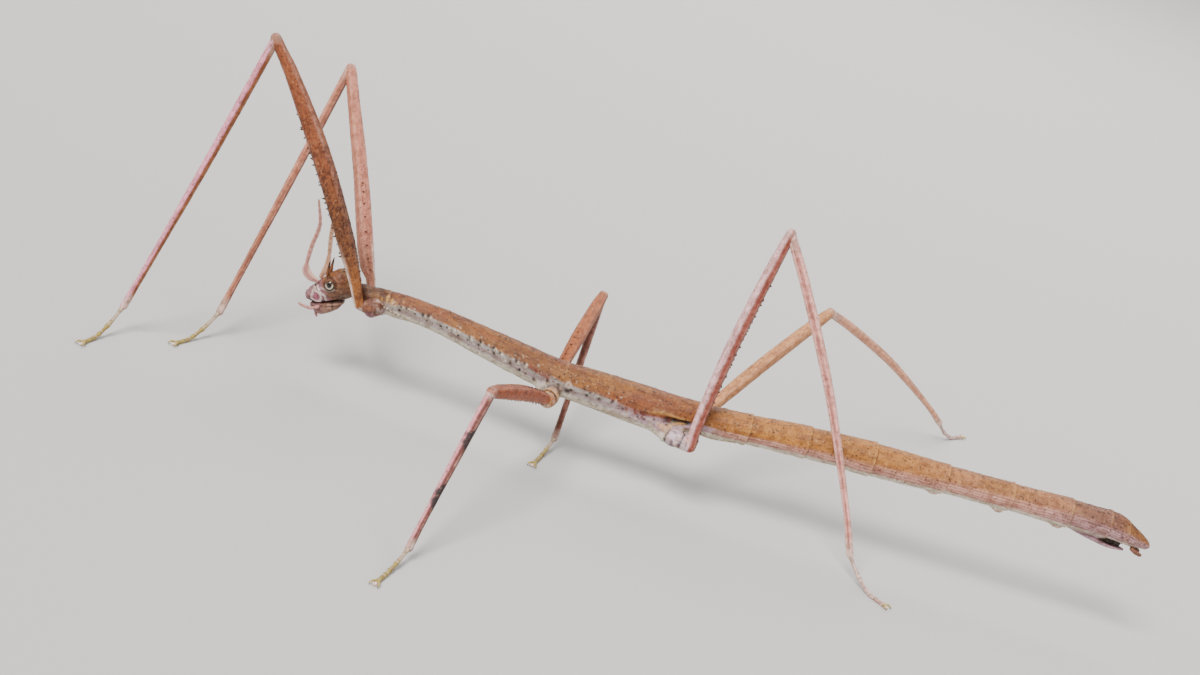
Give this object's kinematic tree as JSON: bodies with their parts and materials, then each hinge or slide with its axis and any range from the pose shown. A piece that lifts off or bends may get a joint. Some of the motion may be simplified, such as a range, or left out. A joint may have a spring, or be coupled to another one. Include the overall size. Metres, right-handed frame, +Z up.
{
  "type": "giant stick insect",
  "caption": "Still, life-size stick insect: long twig-like tan body on thin angled legs, with short feelers and small horns.",
  "frame": {"origin": "floor level under the middle of the outer box", "axes": "+Z up, the head points along -X, the insect's left side is -Y"},
  "size_m": [0.1451, 0.1088, 0.0449],
  "materials": {
    "back_tan": "matt, finely wrinkled",
    "thorax_tan": "matt, finely grained",
    "head_brown": "satin, streaked",
    "eye_glossy": "glossy",
    "horn_brown": "satin",
    "feeler_pale": "satin",
    "coxa_pink": "matt",
    "femur_rust": "matt, speckled",
    "tibia_pink": "matt",
    "foot_pale": "satin",
    "claw_amber": "glossy"
  },
  "bodies": {
    "root": {"abdomen_1": "back_tan", "abdomen_2": "back_tan", "abdomen_3": "back_tan", "abdomen_4": "back_tan", "abdomen_5": "back_tan", "abdomen_6": "back_tan", "abdomen_7": "back_tan", "abdomen_8": "back_tan", "antenna_base_left": "feeler_pale", "antenna_base_right": "feeler_pale", "antenna_lash_left": "feeler_pale", "antenna_lash_right": "feeler_pale", "cercus_left": "coxa_pink", "cercus_right": "coxa_pink", "claws_front_left": "claw_amber", "claws_front_right": "claw_amber", "claws_hind_left": "claw_amber", "claws_hind_right": "claw_amber", "claws_middle_left": "claw_amber", "claws_middle_right": "claw_amber", "coxa_front_left": "coxa_pink", "coxa_front_right": "coxa_pink", "coxa_hind_left": "coxa_pink", "coxa_hind_right": "coxa_pink", "coxa_middle_left": "coxa_pink", "coxa_middle_right": "coxa_pink", "eye_left": "eye_glossy", "eye_right": "eye_glossy", "femur_front_left": "femur_rust", "femur_front_right": "femur_rust", "femur_hind_left": "femur_rust", "femur_hind_right": "femur_rust", "femur_middle_left": "femur_rust", "femur_middle_right": "femur_rust", "head": "head_brown", "horn_left": "horn_brown", "horn_right": "horn_brown", "mesothorax": "thorax_tan", "metathorax": "thorax_tan", "mouth": "head_brown", "operculum": "coxa_pink", "palp_left": "feeler_pale", "palp_right": "feeler_pale", "pronotum": "thorax_tan", "tail_tip": "back_tan", "tarsus_front_left": "foot_pale", "tarsus_front_right": "foot_pale", "tarsus_hind_left": "foot_pale", "tarsus_hind_right": "foot_pale", "tarsus_middle_left": "foot_pale", "tarsus_middle_right": "foot_pale", "tibia_front_left": "tibia_pink", "tibia_front_right": "tibia_pink", "tibia_hind_left": "tibia_pink", "tibia_hind_right": "tibia_pink", "tibia_middle_left": "tibia_pink", "tibia_middle_right": "tibia_pink"}
  },
  "joints": []
}
